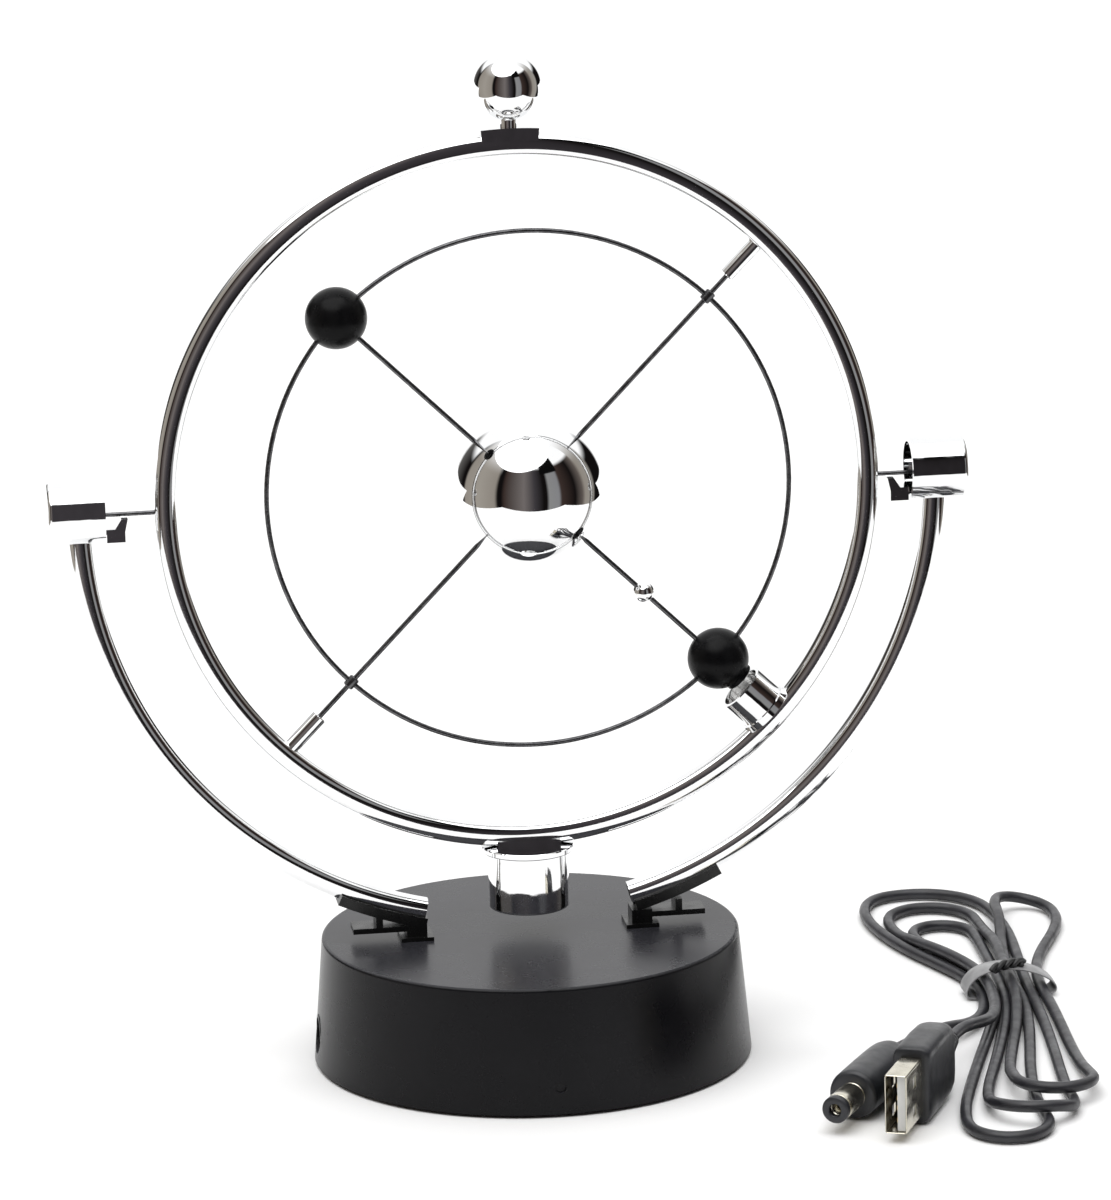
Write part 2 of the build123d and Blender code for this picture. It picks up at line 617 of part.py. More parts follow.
with BuildPart() as cord_hank:
    with BuildSketch(Plane.XY):
        with BuildLine():
            Polyline((76, -79), (83, -58), (88, -34), (91, -10), (92.6, 6), (92.6, 30), (88, 46), (82, 68), (82, 86), (90, 94),
                     (116, 94), (125, 84), (124, 62), (117, 44), (112.4, 30), (112.4, 6), (109, -14), (106, -40),
                     (102, -62), (92, -77), (84, -82), close=True)
        make_face()
    extrude(amount=HANK_H)
    fillet(cord_hank.edges().group_by(Axis.Z)[-1], 1.5)
    with BuildSketch(Plane(origin=(102.5, 16.5, 0), x_dir=(1, 0, 0), z_dir=(0, 1, 0))):
        with Locations((0, -4.9)):
            Rectangle(40.0, 20.0)
            RectangleRounded(21.4, 8.2, 2.0, mode=Mode.SUBTRACT)
    extrude(amount=4.0, mode=Mode.SUBTRACT)
save(cord_hank, "cord_hank")

DC_END = (DC_TIP[0] + 44.0 * DC_DIR[0], DC_TIP[1] + 44.0 * DC_DIR[1], DC_Z)
USB_END = (USB_FRONT[0] + 44.0 * USB_DIR[0], USB_FRONT[1] + 44.0 * USB_DIR[1], USB_Z)
DC_ROUTE = [DC_END, (77.6, -21.8, 5.0), (83.6, -14.0, 4.2), (91.0, -8.4, 3.6), (98.0, -4.6, 3.4)]
USB_ROUTE = [USB_END, (83.8, -28.6, 7.7), (88.8, -22.6, 6.6), (95.4, -18.4, 5.6), (101.0, -15.6, 5.0)]


def corner_radii(points):
    radii = []
    for a, b, c in zip(points, points[1:], points[2:]):
        p, q = Vector(b) - Vector(a), Vector(c) - Vector(b)
        turn = radians(p.get_angle(q))
        radii.append(0.45 * min(p.length, q.length) / tan(turn / 2))
    return radii


for label, route, grip in (("cord_dc_end", DC_ROUTE, dc_plug_grip), ("cord_usb_end", USB_ROUTE, usb_grip)):
    radii = corner_radii(route)
    print(label, "radii", [round(r, 1) for r in radii])
    with BuildPart() as cord:
        with BuildLine() as path:
            FilletPolyline(*route, radius=radii)
        with BuildSketch(Plane(origin=path.wires()[0] @ 0, z_dir=path.wires()[0] % 0)):
            Circle(CORD_R)
        sweep(path=path.wires()[0])
        print(label, "tube", round(cord.part.volume, 2), "section x length", round(3.14159265 * CORD_R ** 2 * path.wires()[0].length, 2))
        add(cord_hank.part, mode=Mode.SUBTRACT)
        add(grip.part, mode=Mode.SUBTRACT)
    save(cord, label)
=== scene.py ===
import bpy, bmesh
from math import sin, cos, tan, radians, degrees, sqrt, pi, atan2
from mathutils import Vector, Matrix


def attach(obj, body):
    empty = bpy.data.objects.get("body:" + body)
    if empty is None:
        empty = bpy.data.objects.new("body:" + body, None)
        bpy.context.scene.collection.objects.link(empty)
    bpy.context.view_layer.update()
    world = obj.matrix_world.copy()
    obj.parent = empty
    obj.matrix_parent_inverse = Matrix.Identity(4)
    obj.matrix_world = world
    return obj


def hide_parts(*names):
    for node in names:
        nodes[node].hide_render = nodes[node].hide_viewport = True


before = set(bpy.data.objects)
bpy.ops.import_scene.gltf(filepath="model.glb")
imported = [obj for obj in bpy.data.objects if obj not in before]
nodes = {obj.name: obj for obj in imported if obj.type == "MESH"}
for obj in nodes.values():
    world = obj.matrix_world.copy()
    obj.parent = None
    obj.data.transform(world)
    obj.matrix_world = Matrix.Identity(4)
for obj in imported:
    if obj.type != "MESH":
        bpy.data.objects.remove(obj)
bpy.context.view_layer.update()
scene = bpy.context.scene
MM = 0.001

# ------------------------------------------------------------------ numbers shared with part.py, in mm
ZP = 117.5
RING_R, RING_TUBE = 71.15, 2.35
ARM_C, ARM_R, ARM_TUBE = (-1.9, 0.0, 116.0), 86.6, 2.4


def mm(p):
    return Vector(p) * MM


# ------------------------------------------------------------------ camera
cam_data = bpy.data.cameras.new("camera")
cam = bpy.data.objects.new("camera", cam_data)
scene.collection.objects.link(cam)
psi, eps, rho = radians(-7.15), radians(13.65), radians(1.48)
fwd = Vector((-sin(psi) * cos(eps), cos(psi) * cos(eps), -sin(eps)))
right = fwd.cross(Vector((0, 0, 1))).normalized()
down = fwd.cross(right)
r2 = cos(rho) * right + sin(rho) * down
d2 = -sin(rho) * right + cos(rho) * down
rot = Matrix((r2, -d2, -fwd)).transposed()
cam.matrix_world = Matrix.Translation(mm((-158.9, -1322.5, 418.6))) @ rot.to_4x4()
cam_data.sensor_fit = "HORIZONTAL"
cam_data.sensor_width = 36.0
cam_data.lens = 6784.5 * 36.0 / 1111.0
cam_data.clip_start, cam_data.clip_end = 0.05, 20.0
scene.camera = cam

# ------------------------------------------------------------------ the lead: one cord from the barrel plug to the USB plug, wound into a loose tied hank
CORD_R = 1.2
DC_TIP, DC_DIR, DC_Z = Vector((51.2, -67.5, 0)), Vector((0.5, 0.8660254, 0)), 5.2
USB_FRONT, USB_DIR, USB_Z = Vector((62.0, -75.0, 0)), Vector((0.42, 0.9075241, 0)), 8.0
LEAD = [
    # from the barrel plug's grip up to the neck of the hank
    (73.2, -29.395, 5.2), (77.6, -21.8, 5.0), (83.6, -14.0, 4.0), (90.2, -7.2, 2.2), (94.4, 2.0, 1.3), (96.4, 11.0, 1.3), (96.8, 20.0, 1.3),
    # big loop at the back left
    (95.2, 29, 1.3), (91.6, 39, 1.3), (86.6, 52, 1.3), (83.0, 68, 1.3), (82.9, 82, 1.3), (87.2, 90.8, 1.3), (95.6, 92.9, 1.3),
    (103.6, 90.4, 1.3), (109.2, 83, 1.3), (110.8, 72, 1.3), (110.8, 58, 1.3), (109.6, 44, 1.3), (108.2, 31, 1.3), (107.2, 20, 1.3),
    # front loop, its tip over the next loop's right side
    (106.4, 6, 1.3), (105.2, -10, 1.3), (103.6, -26, 1.3), (101.8, -42, 1.3), (100.9, -52, 1.3), (100.6, -63.6, 1.6), (95.9, -69.2, 3.8),
    (88.9, -69.5, 4.0), (84.0, -64.4, 3.4), (84.0, -56.0, 1.8), (86.4, -45, 1.3), (91.4, -28, 1.3), (96.8, -8, 1.3), (100.8, 8, 1.3), (102.0, 20, 1.3),
    # small inner loop at the back
    (102.6, 34, 1.3), (103.0, 46, 1.3), (103.3, 54.5, 1.3), (103.3, 62.6, 1.3), (99.4, 67.2, 1.3), (93.6, 67.2, 1.3), (89.9, 62.0, 1.3), (91.3, 52, 1.3),
    (96.0, 38, 1.3), (98.4, 29, 1.3), (99.4, 20, 1.3),
    # longest front loop
    (98.2, 6, 1.3), (93.4, -10, 1.3), (87.8, -28, 1.3), (82.4, -46, 1.3), (78.6, -60, 1.3), (76.8, -73.0, 1.3), (81.7, -79.5, 1.3),
    (88.8, -79.5, 1.3), (93.4, -73.6, 1.3), (93.5, -64.5, 1.3), (93.8, -55, 1.3), (96.2, -38, 1.3), (99.4, -22, 1.3), (102.4, -6, 1.3), (104.2, 8, 1.3),
    (104.6, 20, 1.3),
    # loop at the back right, over the big loop's right side
    (105.4, 32, 1.3), (106.8, 44, 1.3), (108.2, 54, 2.2), (109.6, 62, 3.8), (110.7, 75.4, 4.0), (114.4, 80.4, 3.2), (119.9, 80.4, 2.0), (123.5, 75.3, 1.4),
    (123.2, 66, 1.3), (120.0, 56, 1.3), (115.0, 44, 1.3), (111.4, 32, 1.3), (109.8, 20, 1.3),
    # short front loop, over the two beside it
    (109.4, 6, 1.3), (108.4, -10, 1.3), (107.4, -24, 1.3), (106.8, -37, 1.6), (106.6, -45, 2.6), (106.5, -53.4, 3.6), (101.9, -58.8, 4.0), (95.2, -58.8, 4.1),
    (90.8, -53.4, 3.9), (91.1, -44.5, 3.2), (92.0, -38, 2.0), (95.2, -24, 1.3), (99.4, -8, 1.5), (102.2, 6, 3.4), (103.3, 19, 3.7),
    # second loop at the back left, lying inside the big one
    (104.2, 32, 3.7), (105.3, 45, 3.7), (105.5, 56, 2.3), (105.8, 65, 1.3), (105.6, 75, 1.3), (100.0, 81.2, 1.3), (92.2, 81.2, 1.3), (86.8, 75, 1.3),
    (86.8, 62, 1.3), (89.3, 50.5, 2.9), (93.5, 39, 3.7), (96.7, 29, 3.7), (98.1, 19, 3.7),
    # down to the USB plug's grip, over the front loop
    (97.4, 6, 3.8), (95.8, -4, 4.3), (93.6, -12.5, 5.2), (90.8, -18.6, 6.2), (87.0, -23.6, 7.2), (83.6, -28.4, 7.9), (80.48, -35.069, 8.0),
]
curve = bpy.data.curves.new("lead_cord", "CURVE")
curve.dimensions = "3D"
spline = curve.splines.new("NURBS")
spline.points.add(len(LEAD) - 1)
for point, place in zip(spline.points, LEAD):
    point.co = (*mm(place), 1.0)
spline.order_u = 3
spline.use_endpoint_u = True
curve.resolution_u = 8
curve.bevel_depth = CORD_R * MM
curve.bevel_resolution = 4
curve.use_fill_caps = True
lead_cord = bpy.data.objects.new("lead_cord", curve)
scene.collection.objects.link(lead_cord)

bare = bpy.data.objects.new("lead_line", curve.copy())
bare.data.bevel_depth = 0
line_mesh = bpy.data.meshes.new_from_object(bare)
bpy.data.objects.remove(bare)


# ------------------------------------------------------------------ materials
def new_material(name):
    m = bpy.data.materials.new(name)
    m.use_nodes = True
    nt = m.node_tree
    b = nt.nodes["Principled BSDF"]
    return m, nt, b


def link(nt, a, b):
    nt.links.new(a, b)


def noise(nt, scale, detail=3.0, rough=0.55, coords=None, distortion=0.0):
    n = nt.nodes.new("ShaderNodeTexNoise")
    n.inputs["Scale"].default_value = scale
    n.inputs["Detail"].default_value = detail
    n.inputs["Roughness"].default_value = rough
    n.inputs["Distortion"].default_value = distortion
    if coords is None:
        coords = nt.nodes.new("ShaderNodeTexCoord").outputs["Object"]
    link(nt, coords, n.inputs["Vector"])
    return n


def ramp(nt, fac, stops):
    r = nt.nodes.new("ShaderNodeValToRGB")
    while len(r.color_ramp.elements) < len(stops):
        r.color_ramp.elements.new(0.5)
    for e, (p, c) in zip(r.color_ramp.elements, stops):
        e.position = p
        e.color = (*c, 1.0) if isinstance(c, tuple) else (c, c, c, 1.0)
    link(nt, fac, r.inputs["Fac"])
    return r


def bump(nt, height, strength, distance, bsdf):
    b = nt.nodes.new("ShaderNodeBump")
    b.inputs["Strength"].default_value = strength
    b.inputs["Distance"].default_value = distance
    link(nt, height, b.inputs["Height"])
    link(nt, b.outputs["Normal"], bsdf.inputs["Normal"])
    return b


def metal(name, base, rough_lo, rough_hi, scale=90.0, bump_strength=0.0, bump_scale=60.0, tint=None):
    m, nt, b = new_material(name)
    n = noise(nt, scale, 4.0)
    tint = tint or tuple(c * 0.93 for c in base)
    c = ramp(nt, n.outputs["Fac"], [(0.35, tint), (0.65, base)])
    link(nt, c.outputs["Color"], b.inputs["Base Color"])
    r = ramp(nt, noise(nt, scale * 2.3, 5.0).outputs["Fac"], [(0.3, rough_lo), (0.75, rough_hi)])
    link(nt, r.outputs["Color"], b.inputs["Roughness"])
    b.inputs["Metallic"].default_value = 1.0
    if bump_strength:
        bump(nt, noise(nt, bump_scale, 2.0).outputs["Fac"], bump_strength, 0.0004, b)
    return m


def plastic(name, lo, hi, rough_lo, rough_hi, scale, grain=0.0, grain_scale=2500.0, specular=0.5, coat=0.0):
    m, nt, b = new_material(name)
    n = noise(nt, scale, 5.0)
    c = ramp(nt, n.outputs["Fac"], [(0.3, lo), (0.7, hi)])
    link(nt, c.outputs["Color"], b.inputs["Base Color"])
    r = ramp(nt, noise(nt, scale * 1.7, 4.0).outputs["Fac"], [(0.3, rough_lo), (0.7, rough_hi)])
    link(nt, r.outputs["Color"], b.inputs["Roughness"])
    b.inputs["Specular IOR Level"].default_value = specular
    b.inputs["Coat Weight"].default_value = coat
    b.inputs["Coat Roughness"].default_value = 0.12
    if grain:
        bump(nt, noise(nt, grain_scale, 2.0).outputs["Fac"], grain, 0.00005, b)
    return m


chrome = metal("chrome_plating", (0.94, 0.945, 0.95), 0.015, 0.05, scale=70.0, bump_strength=0.02, bump_scale=55.0)
chrome_tube = metal("chrome_tube", (0.93, 0.935, 0.94), 0.03, 0.08, scale=110.0, bump_strength=0.03, bump_scale=90.0)
chrome_plastic = metal("chrome_moulding", (0.92, 0.925, 0.93), 0.02, 0.06, scale=60.0, bump_strength=0.10, bump_scale=160.0)
steel_wire = metal("steel_wire", (0.15, 0.15, 0.155), 0.20, 0.34, scale=420.0, bump_strength=0.08, bump_scale=1800.0, tint=(0.08, 0.08, 0.085))
nickel = metal("plug_nickel", (0.74, 0.71, 0.61), 0.16, 0.30, scale=260.0, bump_strength=0.05, bump_scale=700.0, tint=(0.60, 0.57, 0.48))
magnet = metal("magnet_nickel", (0.60, 0.59, 0.57), 0.16, 0.3, scale=240.0, bump_strength=0.05, bump_scale=600.0)
screw_steel = metal("screw_steel", (0.52, 0.52, 0.51), 0.2, 0.34, scale=300.0, bump_strength=0.06, bump_scale=900.0)
copper = metal("copper_winding", (0.72, 0.34, 0.16), 0.25, 0.4, scale=200.0)
ball_black = plastic("ball_black", (0.0025, 0.0025, 0.003), (0.006, 0.006, 0.0065), 0.24, 0.34, 240.0, grain=0.10, grain_scale=1400.0, specular=0.10)
base_black = plastic("base_black", (0.0035, 0.0034, 0.0044), (0.0062, 0.0060, 0.0074), 0.265, 0.285, 60.0, grain=0.025, grain_scale=2600.0, specular=0.17)
# painted reflection: faces that point up get a paler colour than the sides, standing in for the bright surroundings
# mirrored at a grazing angle
nt, b = base_black.node_tree, base_black.node_tree.nodes["Principled BSDF"]
plain_colour_in = b.inputs["Base Color"].links[0].from_socket
geo, part_n = nt.nodes.new("ShaderNodeNewGeometry"), nt.nodes.new("ShaderNodeSeparateXYZ")
link(nt, geo.outputs["Normal"], part_n.inputs[0])
sheen_face_mask = nt.nodes.new("ShaderNodeMapRange")
sheen_face_mask.inputs["From Min"].default_value, sheen_face_mask.inputs["From Max"].default_value = 0.5, 0.95
link(nt, part_n.outputs["Z"], sheen_face_mask.inputs["Value"])
# painted reflection: the paler colour laid on the upward faces
painted_top_sheen = ramp(nt, noise(nt, 45.0, 5.0).outputs["Fac"], [(0.3, (0.022, 0.022, 0.026)), (0.7, (0.029, 0.029, 0.034))])
sheen_mix = nt.nodes.new("ShaderNodeMix")
sheen_mix.data_type = "RGBA"
link(nt, sheen_face_mask.outputs["Result"], sheen_mix.inputs["Factor"])
link(nt, plain_colour_in, sheen_mix.inputs[6])
link(nt, painted_top_sheen.outputs["Color"], sheen_mix.inputs[7])
link(nt, sheen_mix.outputs[2], b.inputs["Base Color"])
clip_black = plastic("clip_black", (0.004, 0.004, 0.004), (0.010, 0.010, 0.010), 0.20, 0.36, 160.0, grain=0.12, grain_scale=1800.0, specular=0.35)
foam = plastic("foam", (0.012, 0.012, 0.012), (0.03, 0.03, 0.03), 0.85, 0.98, 800.0, grain=0.9, grain_scale=1800.0, specular=0.2)
nylon = plastic("bobbin_nylon", (0.62, 0.61, 0.56), (0.72, 0.71, 0.66), 0.4, 0.55, 120.0)
board = plastic("board_green", (0.012, 0.10, 0.035), (0.02, 0.14, 0.05), 0.3, 0.45, 300.0)
component = plastic("component_black", (0.01, 0.01, 0.012), (0.022, 0.022, 0.025), 0.25, 0.4, 300.0)
cord_pvc = plastic("cord_pvc", (0.013, 0.013, 0.016), (0.030, 0.030, 0.036), 0.30, 0.50, 190.0, grain=0.25, grain_scale=1500.0)
grip_pvc = plastic("grip_pvc", (0.009, 0.010, 0.012), (0.020, 0.021, 0.026), 0.30, 0.46, 170.0, grain=0.22, grain_scale=1500.0)
tie_grey = plastic("tie_grey", (0.20, 0.20, 0.205), (0.34, 0.34, 0.345), 0.35, 0.6, 260.0, grain=0.35, grain_scale=900.0)
tie_black = plastic("tie_black", (0.012, 0.012, 0.013), (0.028, 0.028, 0.03), 0.35, 0.55, 300.0, grain=0.35, grain_scale=1300.0)
insert_white = plastic("usb_insert", (0.55, 0.55, 0.53), (0.68, 0.68, 0.66), 0.35, 0.5, 160.0)


def paint(material, *names):
    for n in names:
        o = nodes[n]
        o.data.materials.clear()
        o.data.materials.append(material)


paint(chrome, "finial_ball", "hub_sphere_front", "hub_sphere_rear", "spoke_bead", "upper_axle_sleeve", "lower_axle_sleeve")
paint(chrome_tube, "outer_ring", "left_arm", "right_arm")
paint(chrome_plastic, "finial_neck", "finial_saddle", "magnet_housing", "housing_flange", "magnet_cup",
      "left_end_cap", "right_end_cap", "left_bearing", "right_bearing")
paint(steel_wire, "axle_rod", "upper_spoke", "lower_spoke", "orbit_wire_upper_left", "orbit_wire_lower_right",
      "upper_orbit_ferrule", "lower_orbit_ferrule", "left_pivot_pin", "right_pivot_pin")
paint(magnet, "drive_magnet", "cup_magnet")
paint(ball_black, "upper_orbit_ball", "lower_orbit_ball", "ball_magnet")
paint(base_black, "base_shell", "bottom_cover")
paint(clip_black, "left_arm_clip", "right_arm_clip", "power_jack")
paint(foam, "foam_pad")
paint(screw_steel, "cover_screw_1", "cover_screw_2", "cover_screw_3", "coil_core")
paint(nylon, "coil_bobbin")
paint(copper, "drive_coil")
paint(board, "circuit_board")
paint(component, "board_capacitor", "board_transistor")
paint(cord_pvc, "cord_hank", "cord_dc_end", "cord_usb_end")
paint(tie_grey, "cord_tie")
paint(grip_pvc, "dc_plug_grip", "usb_grip", "dc_plug_tip")
paint(nickel, "dc_plug_barrel", "usb_shell")
paint(insert_white, "usb_tongue")
lead_cord.data.materials.append(cord_pvc)


# ------------------------------------------------------------------ mesh helpers
def mesh_object(name, bm, material, smooth=True):
    bmesh.ops.recalc_face_normals(bm, faces=bm.faces)
    me = bpy.data.meshes.new(name)
    bm.to_mesh(me)
    bm.free()
    for p in me.polygons:
        p.use_smooth = smooth
    me.materials.append(material)
    o = bpy.data.objects.new(name, me)
    scene.collection.objects.link(o)
    return o


def frames_along(points, closed=False, up=Vector((0, 0, 1))):
    """Frames without twist along a line of points."""
    out, n = [], len(points)
    side = None
    for i, p in enumerate(points):
        a = points[(i - 1) % n] if (closed or i) else p
        b = points[(i + 1) % n] if (closed or i < n - 1) else p
        t = (b - a).normalized()
        side = t.cross(up) if side is None else side - t * side.dot(t)
        if side.length < 1e-6:
            side = t.orthogonal()
        side.normalize()
        out.append((p, t, side.copy(), side.cross(t)))
    return out


def tube(bm, points, radii, seg=24, caps=True, closed=False, squeeze=(1.0, 1.0)):
    """A tube with its own radius at each point."""
    rings = []
    for (p, t, s, w), r in zip(frames_along(points, closed), radii):
        rings.append([bm.verts.new(p + (s * cos(2 * pi * k / seg) * squeeze[0] + w * sin(2 * pi * k / seg) * squeeze[1]) * r) for k in range(seg)])
    pairs = list(zip(rings, rings[1:])) + ([(rings[-1], rings[0])] if closed else [])
    for a, b in pairs:
        for k in range(seg):
            bm.faces.new((a[k], a[(k + 1) % seg], b[(k + 1) % seg], b[k]))
    if caps and not closed:
        bm.faces.new(rings[0][::-1])
        bm.faces.new(rings[-1])
    return rings


def lathe(bm, profile, origin, axis, seg=64, closed=False):
    """Turns a profile of (distance along the axis, radius) about the axis."""
    axis = Vector(axis).normalized()
    s = axis.orthogonal().normalized()
    w = axis.cross(s)
    origin = Vector(origin)
    rings = []
    for d, r in profile:
        c = origin + axis * d
        if r < 1e-7:
            rings.append([bm.verts.new(c)])
        else:
            rings.append([bm.verts.new(c + (s * cos(2 * pi * k / seg) + w * sin(2 * pi * k / seg)) * r) for k in range(seg)])
    pairs = list(zip(rings, rings[1:])) + ([(rings[-1], rings[0])] if closed else [])
    for a, b in pairs:
        for k in range(seg):
            j = (k + 1) % seg
            if len(a) == 1 and len(b) == 1:
                continue
            if len(a) == 1:
                bm.faces.new((a[0], b[j], b[k]))
            elif len(b) == 1:
                bm.faces.new((a[k], a[j], b[0]))
            else:
                bm.faces.new((a[k], a[j], b[j], b[k]))
    return rings


def arc_profile(c_d, c_r, r, a0, a1, n):
    return [(c_d + r * cos(a0 + (a1 - a0) * i / n), c_r + r * sin(a0 + (a1 - a0) * i / n)) for i in range(n + 1)]


P = Vector((0, 0, ZP)) * MM


def polar(a, r, c=(0, 0, ZP)):
    a = radians(a)
    return Vector((c[0] + r * cos(a), c[1], c[2] + r * sin(a))) * MM


# ------------------------------------------------------------------ lead: plugs, tie
def barrel_plug():
    o = (DC_TIP + Vector((0, 0, DC_Z))) * MM
    d = DC_DIR
    bm = bmesh.new()
    lathe(bm, [(x * MM, r * MM) for x, r in
               [(0.05, 1.30), (0.0, 1.55), (0.0, 2.40), (0.10, 2.62), (0.35, 2.75), (1.55, 2.75), (1.60, 2.62), (1.60, 1.35), (0.35, 1.25)]],
          o, d, 48, closed=True)
    tip = mesh_object("plug_tip_ring", bm, grip_pvc)
    bm = bmesh.new()
    lathe(bm, [(x * MM, r * MM) for x, r in
               [(1.62, 1.1), (1.62, 2.60), (1.72, 2.73), (2.6, 2.75), (9.3, 2.75), (9.36, 2.62), (9.62, 2.62), (9.70, 2.75), (9.98, 2.75), (9.98, 1.1)]],
          o, d, 64, closed=True)
    barrel = mesh_object("plug_barrel", bm, nickel)
    profile = [(10.0, 2.6), (10.0, 4.1), (10.12, 4.45), (10.5, 4.85), (11.2, 5.02), (14.0, 5.06), (20.0, 5.12), (28.0, 5.14), (30.6, 5.05),
               (32.4, 4.72), (33.4, 4.2), (34.2, 3.4), (35.0, 2.9)]
    x = 35.0
    for i in range(6):                       # ribs of the strain relief
        r = 2.75 - 0.14 * i
        profile += [(x + 0.25, r), (x + 0.95, r), (x + 1.05, r - 0.55), (x + 1.35, r - 0.55), (x + 1.45, r - 0.08)]
        x += 1.45
    profile += [(43.8, 1.85), (44.0, 1.6), (44.0, 1.25), (40.0, 1.25)]
    bm = bmesh.new()
    lathe(bm, [(a * MM, b * MM) for a, b in profile], o, d, 56, closed=False)
    rings = [v for v in bm.verts]
    grip = mesh_object("plug_grip", bm, grip_pvc)
    return tip, barrel, grip


def slab(bm, o, axes, lo, hi, bevel=0.0, segments=3):
    """A block along its own axes with rounded edges."""
    vs = []
    for k in range(8):
        q = [hi[i] if k >> i & 1 else lo[i] for i in range(3)]
        vs.append(bm.verts.new(o + (axes[0] * q[0] + axes[1] * q[1] + axes[2] * q[2]) * MM))
    fs = [bm.faces.new([vs[i] for i in f]) for f in ((0, 2, 3, 1), (4, 5, 7, 6), (0, 1, 5, 4), (2, 6, 7, 3), (0, 4, 6, 2), (1, 3, 7, 5))]
    if bevel:
        edges = list({e for f in fs for e in f.edges})
        bmesh.ops.bevel(bm, geom=edges, offset=bevel * MM, segments=segments, profile=0.5, affect="EDGES")
    return fs


def rounded_loop(w, h, r, n=6):
    pts = []
    for cx, cy, a0 in ((w / 2 - r, h / 2 - r, 0), (-w / 2 + r, h / 2 - r, 90), (-w / 2 + r, -h / 2 + r, 180), (w / 2 - r, -h / 2 + r, 270)):
        for i in range(n + 1):
            a = radians(a0 + 90 * i / n)
            pts.append((cx + r * cos(a), cy + r * sin(a)))
    return pts


def loft(bm, sections, o, axes, closed_ends=(True, True)):
    """Skins through sections of (distance, outline) that have the same number of points; axes are across, up, along."""
    rings = [[bm.verts.new(o + (axes[0] * x + axes[1] * y + axes[2] * d) * MM) for x, y in outline] for d, outline in sections]
    for a, b in zip(rings, rings[1:]):
        n = len(a)
        for k in range(n):
            bm.faces.new((a[k], a[(k + 1) % n], b[(k + 1) % n], b[k]))
    if closed_ends[0]:
        bm.faces.new(rings[0][::-1])
    if closed_ends[1]:
        bm.faces.new(rings[-1])
    return rings


def usb_plug():
    o = (USB_FRONT + Vector((0, 0, USB_Z))) * MM
    d = USB_DIR
    across = Vector((d.y, -d.x, 0))
    up = Vector((0, 0, 1))
    axes = (across, up, d)
    # the folded steel shell: outer and inner skin with a rolled front lip
    bm = bmesh.new()
    outline = lambda w, h, r: rounded_loop(w, h, r)
    loft(bm, [(12.35, outline(3.9, 11.4, 0.3)), (0.35, outline(3.9, 11.4, 0.3)), (0.08, outline(4.0, 11.5, 0.34)), (0.0, outline(4.18, 11.68, 0.40)),
              (0.10, outline(4.40, 11.90, 0.46)), (0.30, outline(4.5, 12.0, 0.5)), (12.35, outline(4.5, 12.0, 0.5))],
         o, axes, (False, False))
    bm.verts.ensure_lookup_table()
    n = len(outline(1, 1, 0.2))
    first, last = bm.verts[:n], bm.verts[-n:]
    for k in range(n):
        bm.faces.new((first[k], first[(k + 1) % n], last[(k + 1) % n], last[k]))
    shell = mesh_object("usb_shell_sheet", bm, nickel)
    shell.data.validate()
    # latch windows cut through both wide faces
    cut = bmesh.new()
    for y in (2.9, -2.9):
        slab(cut, o, axes, (-4, y - 1.1, 5.0), (4, y + 1.1, 7.4), 0.0)
    cutter = mesh_object("usb_cutter", cut, nickel)
    mod = shell.modifiers.new("windows", "BOOLEAN")
    mod.operation, mod.object, mod.solver = "DIFFERENCE", cutter, "EXACT"
    bpy.context.view_layer.update()
    me = bpy.data.meshes.new_from_object(shell.evaluated_get(bpy.context.evaluated_depsgraph_get()))
    shell.modifiers.clear()
    shell.data = me
    shade_sharp(shell, 35)
    cutter_data = cutter.data
    bpy.data.objects.remove(cutter)
    bpy.data.meshes.remove(cutter_data)
    # insulator with four contact strips
    bm = bmesh.new()
    slab(bm, o, axes, (0.15, -5.62, 0.8), (1.88, 5.62, 12.3), 0.12)
    tongue = mesh_object("usb_insulator", bm, insert_white, smooth=False)
    bm = bmesh.new()
    for y in (-3.5, -1.0, 1.0, 3.5):
        slab(bm, o, axes, (-0.02, y - 0.5, 1.2), (0.18, y + 0.5, 9.0), 0.06)
    contacts = mesh_object("usb_contacts", bm, contact_gold, smooth=False)
    # moulded grip: rounded block that draws in to a ribbed strain relief
    sections = [(12.4, outline(5.2, 12.8, 0.9)), (12.4, outline(6.8, 14.8, 1.7)), (12.65, outline(7.3, 15.3, 1.9)), (13.3, outline(7.7, 15.7, 2.1)),
                (14.5, outline(7.8, 15.8, 2.2)), (24.0, outline(7.8, 15.8, 2.2)), (30.0, outline(7.7, 15.2, 2.3)), (32.4, outline(7.5, 14.2, 2.6)),
                (33.8, outline(7.0, 12.4, 3.0)), (34.6, outline(6.4, 9.8, 3.0)), (35.0, outline(5.8, 7.0, 2.8))]
    x = 35.0
    for i in range(6):
        w = 5.6 - 0.36 * i
        r = w / 2 - 0.05
        sections += [(x + 0.15, outline(w, w, r)), (x + 0.85, outline(w, w, r)), (x + 0.95, outline(w - 1.1, w - 1.1, r - 0.55)),
                     (x + 1.3, outline(w - 1.1, w - 1.1, r - 0.55)), (x + 1.4, outline(w - 0.2, w - 0.2, r - 0.1))]
        x += 1.45
    sections += [(43.8, outline(3.5, 3.5, 1.7)), (44.0, outline(2.9, 2.9, 1.4)), (44.0, outline(2.4, 2.4, 1.15))]
    bm = bmesh.new()
    loft(bm, sections, o, axes)
    # raised panel edge on the wide faces, left plain
    grip = mesh_object("usb_moulding", bm, grip_pvc)
    shade_sharp(grip, 50)
    return shell, tongue, contacts, grip


def shade_sharp(o, angle):
    """Smooth shading with edges sharper than the angle kept crisp."""
    bm = bmesh.new()
    bm.from_mesh(o.data)
    for e in bm.edges:
        e.smooth = not (len(e.link_faces) == 2 and e.calc_face_angle(0.0) > radians(angle))
    bm.to_mesh(o.data)
    bm.free()
    for p in o.data.polygons:
        p.use_smooth = True


